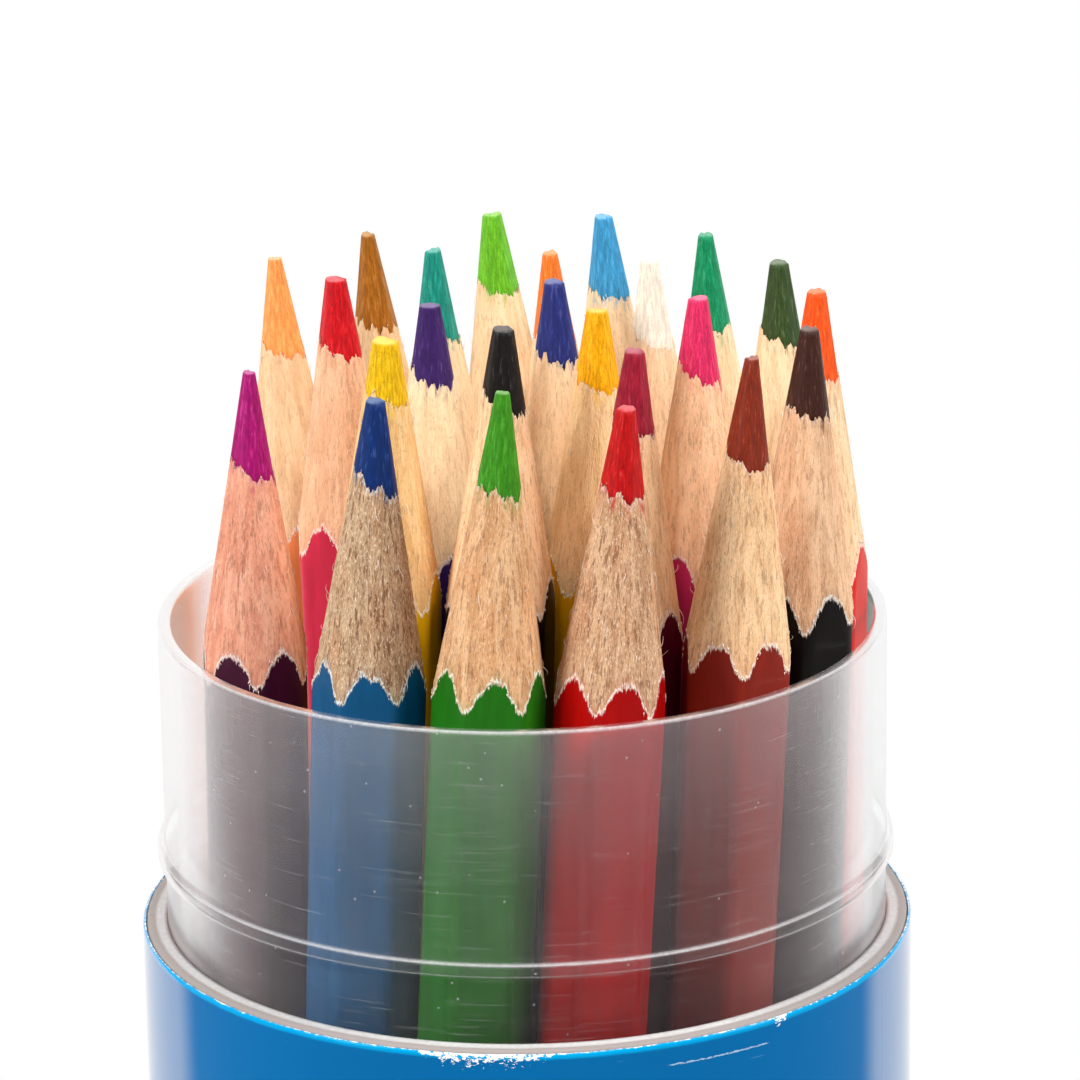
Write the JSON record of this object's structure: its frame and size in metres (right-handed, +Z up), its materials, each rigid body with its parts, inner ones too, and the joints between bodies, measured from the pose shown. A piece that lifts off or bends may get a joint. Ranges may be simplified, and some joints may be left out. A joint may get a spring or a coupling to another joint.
{
  "type": "colored pencil tube",
  "caption": "Round card tube with a frosted plastic neck, open at the top, holding a loose bundle of sharpened hexagonal colored pencils that lift out singly.",
  "frame": {"origin": "centre of the base on the surface the tube stands on", "axes": "+Z up along the tube's axis, -Y the front as pictured, +X to the right"},
  "size_m": [0.0532, 0.0532, 0.1804],
  "materials": {
    "board": "pale grey board",
    "print": "glossy blue print",
    "frosted": "frosted see-through plastic",
    "base": "satin white plastic",
    "magenta_wood": "lacquered, bare wood at the sharpened end",
    "magenta_lead": "waxy coloured lead",
    "blue_wood": "lacquered, bare wood at the sharpened end",
    "blue_lead": "waxy coloured lead",
    "green_wood": "lacquered, bare wood at the sharpened end",
    "green_lead": "waxy coloured lead",
    "red_wood": "lacquered, bare wood at the sharpened end",
    "red_lead": "waxy coloured lead",
    "brown_wood": "lacquered, bare wood at the sharpened end",
    "brown_lead": "waxy coloured lead",
    "umber_wood": "lacquered, bare wood at the sharpened end",
    "umber_lead": "waxy coloured lead",
    "vermilion_wood": "lacquered, bare wood at the sharpened end",
    "vermilion_lead": "waxy coloured lead",
    "olive_wood": "lacquered, bare wood at the sharpened end",
    "olive_lead": "waxy coloured lead",
    "emerald_wood": "lacquered, bare wood at the sharpened end",
    "emerald_lead": "waxy coloured lead",
    "sky_wood": "lacquered, bare wood at the sharpened end",
    "sky_lead": "waxy coloured lead",
    "lime_wood": "lacquered, bare wood at the sharpened end",
    "lime_lead": "waxy coloured lead",
    "ochre_wood": "lacquered, bare wood at the sharpened end",
    "ochre_lead": "waxy coloured lead",
    "peach_wood": "lacquered, bare wood at the sharpened end",
    "peach_lead": "waxy coloured lead",
    "crimson_wood": "lacquered, bare wood at the sharpened end",
    "crimson_lead": "waxy coloured lead",
    "yellow_wood": "lacquered, bare wood at the sharpened end",
    "yellow_lead": "waxy coloured lead",
    "violet_wood": "lacquered, bare wood at the sharpened end",
    "violet_lead": "waxy coloured lead",
    "indigo_wood": "lacquered, bare wood at the sharpened end",
    "indigo_lead": "waxy coloured lead",
    "amber_wood": "lacquered, bare wood at the sharpened end",
    "amber_lead": "waxy coloured lead",
    "pink_wood": "lacquered, bare wood at the sharpened end",
    "pink_lead": "waxy coloured lead",
    "burgundy_wood": "lacquered, bare wood at the sharpened end",
    "burgundy_lead": "waxy coloured lead",
    "white_wood": "lacquered, bare wood at the sharpened end",
    "white_lead": "waxy coloured lead",
    "orange_wood": "lacquered, bare wood at the sharpened end",
    "orange_lead": "waxy coloured lead",
    "teal_wood": "lacquered, bare wood at the sharpened end",
    "teal_lead": "waxy coloured lead",
    "black_wood": "lacquered, bare wood at the sharpened end",
    "black_lead": "waxy coloured lead"
  },
  "bodies": {
    "tube": {"board_tube": "board", "printed_wrap": "print", "neck_sleeve": "frosted", "base_plug": "base"},
    "pencil_magenta": {"pencil_magenta_casing": "magenta_wood", "pencil_magenta_lead": "magenta_lead"},
    "pencil_blue": {"pencil_blue_casing": "blue_wood", "pencil_blue_lead": "blue_lead"},
    "pencil_green": {"pencil_green_casing": "green_wood", "pencil_green_lead": "green_lead"},
    "pencil_red": {"pencil_red_casing": "red_wood", "pencil_red_lead": "red_lead"},
    "pencil_brown": {"pencil_brown_casing": "brown_wood", "pencil_brown_lead": "brown_lead"},
    "pencil_umber": {"pencil_umber_casing": "umber_wood", "pencil_umber_lead": "umber_lead"},
    "pencil_vermilion": {"pencil_vermilion_casing": "vermilion_wood", "pencil_vermilion_lead": "vermilion_lead"},
    "pencil_olive": {"pencil_olive_casing": "olive_wood", "pencil_olive_lead": "olive_lead"},
    "pencil_emerald": {"pencil_emerald_casing": "emerald_wood", "pencil_emerald_lead": "emerald_lead"},
    "pencil_sky": {"pencil_sky_casing": "sky_wood", "pencil_sky_lead": "sky_lead"},
    "pencil_lime": {"pencil_lime_casing": "lime_wood", "pencil_lime_lead": "lime_lead"},
    "pencil_ochre": {"pencil_ochre_casing": "ochre_wood", "pencil_ochre_lead": "ochre_lead"},
    "pencil_peach": {"pencil_peach_casing": "peach_wood", "pencil_peach_lead": "peach_lead"},
    "pencil_crimson": {"pencil_crimson_casing": "crimson_wood", "pencil_crimson_lead": "crimson_lead"},
    "pencil_yellow": {"pencil_yellow_casing": "yellow_wood", "pencil_yellow_lead": "yellow_lead"},
    "pencil_violet": {"pencil_violet_casing": "violet_wood", "pencil_violet_lead": "violet_lead"},
    "pencil_indigo": {"pencil_indigo_casing": "indigo_wood", "pencil_indigo_lead": "indigo_lead"},
    "pencil_amber": {"pencil_amber_casing": "amber_wood", "pencil_amber_lead": "amber_lead"},
    "pencil_pink": {"pencil_pink_casing": "pink_wood", "pencil_pink_lead": "pink_lead"},
    "pencil_burgundy": {"pencil_burgundy_casing": "burgundy_wood", "pencil_burgundy_lead": "burgundy_lead"},
    "pencil_white": {"pencil_white_casing": "white_wood", "pencil_white_lead": "white_lead"},
    "pencil_orange": {"pencil_orange_casing": "orange_wood", "pencil_orange_lead": "orange_lead"},
    "pencil_teal": {"pencil_teal_casing": "teal_wood", "pencil_teal_lead": "teal_lead"},
    "pencil_black": {"pencil_black_casing": "black_wood", "pencil_black_lead": "black_lead"}
  },
  "joints": [
    {"name": "pencil_magenta_pull", "type": "slide", "parent": "tube", "child": "pencil_magenta", "axis": [0.0127, -0.0615, 0.998], "range_m": [0, 0.16]},
    {"name": "pencil_blue_pull", "type": "slide", "parent": "tube", "child": "pencil_blue", "axis": [0.0445, -0.0443, 0.998], "range_m": [0, 0.16]},
    {"name": "pencil_green_pull", "type": "slide", "parent": "tube", "child": "pencil_green", "axis": [0.0587, -0.0224, 0.998], "range_m": [0, 0.16]},
    {"name": "pencil_red_pull", "type": "slide", "parent": "tube", "child": "pencil_red", "axis": [0.0627, 0.0024, 0.998], "range_m": [0, 0.16]},
    {"name": "pencil_brown_pull", "type": "slide", "parent": "tube", "child": "pencil_brown", "axis": [0.0541, 0.0319, 0.998], "range_m": [0, 0.16]},
    {"name": "pencil_umber_pull", "type": "slide", "parent": "tube", "child": "pencil_umber", "axis": [0.0367, 0.051, 0.998], "range_m": [0, 0.16]},
    {"name": "pencil_vermilion_pull", "type": "slide", "parent": "tube", "child": "pencil_vermilion", "axis": [0.0138, 0.0612, 0.998], "range_m": [0, 0.16]},
    {"name": "pencil_olive_pull", "type": "slide", "parent": "tube", "child": "pencil_olive", "axis": [-0.0105, 0.0619, 0.998], "range_m": [0, 0.16]},
    {"name": "pencil_emerald_pull", "type": "slide", "parent": "tube", "child": "pencil_emerald", "axis": [-0.0328, 0.0536, 0.998], "range_m": [0, 0.16]},
    {"name": "pencil_sky_pull", "type": "slide", "parent": "tube", "child": "pencil_sky", "axis": [-0.051, 0.0367, 0.998], "range_m": [0, 0.16]},
    {"name": "pencil_lime_pull", "type": "slide", "parent": "tube", "child": "pencil_lime", "axis": [-0.0611, 0.0146, 0.998], "range_m": [0, 0.16]},
    {"name": "pencil_ochre_pull", "type": "slide", "parent": "tube", "child": "pencil_ochre", "axis": [-0.0613, -0.0137, 0.998], "range_m": [0, 0.16]},
    {"name": "pencil_peach_pull", "type": "slide", "parent": "tube", "child": "pencil_peach", "axis": [-0.0501, -0.0378, 0.998], "range_m": [0, 0.16]},
    {"name": "pencil_crimson_pull", "type": "slide", "parent": "tube", "child": "pencil_crimson", "axis": [-0.0241, -0.032, 0.9992], "range_m": [0, 0.16]},
    {"name": "pencil_yellow_pull", "type": "slide", "parent": "tube", "child": "pencil_yellow", "axis": [0.0182, -0.0343, 0.9992], "range_m": [0, 0.16]},
    {"name": "pencil_violet_pull", "type": "slide", "parent": "tube", "child": "pencil_violet", "axis": [-0.0016, -0.0186, 0.9998], "range_m": [0, 0.16]},
    {"name": "pencil_indigo_pull", "type": "slide", "parent": "tube", "child": "pencil_indigo", "axis": [-0.01, 0.0115, 0.9999], "range_m": [0, 0.16]},
    {"name": "pencil_amber_pull", "type": "slide", "parent": "tube", "child": "pencil_amber", "axis": [0.0149, 0.0125, 0.9998], "range_m": [0, 0.16]},
    {"name": "pencil_pink_pull", "type": "slide", "parent": "tube", "child": "pencil_pink", "axis": [0.0095, 0.0366, 0.9993], "range_m": [0, 0.16]},
    {"name": "pencil_burgundy_pull", "type": "slide", "parent": "tube", "child": "pencil_burgundy", "axis": [0.039, 0.0123, 0.9992], "range_m": [0, 0.16]},
    {"name": "pencil_white_pull", "type": "slide", "parent": "tube", "child": "pencil_white", "axis": [-0.0163, 0.0349, 0.9993], "range_m": [0, 0.16]},
    {"name": "pencil_orange_pull", "type": "slide", "parent": "tube", "child": "pencil_orange", "axis": [-0.033, 0.0183, 0.9993], "range_m": [0, 0.16]},
    {"name": "pencil_teal_pull", "type": "slide", "parent": "tube", "child": "pencil_teal", "axis": [-0.0369, -0.0065, 0.9993], "range_m": [0, 0.16]},
    {"name": "pencil_black_pull", "type": "slide", "parent": "tube", "child": "pencil_black", "axis": [0.0258, -0.0115, 0.9996], "range_m": [0, 0.16]}
  ]
}
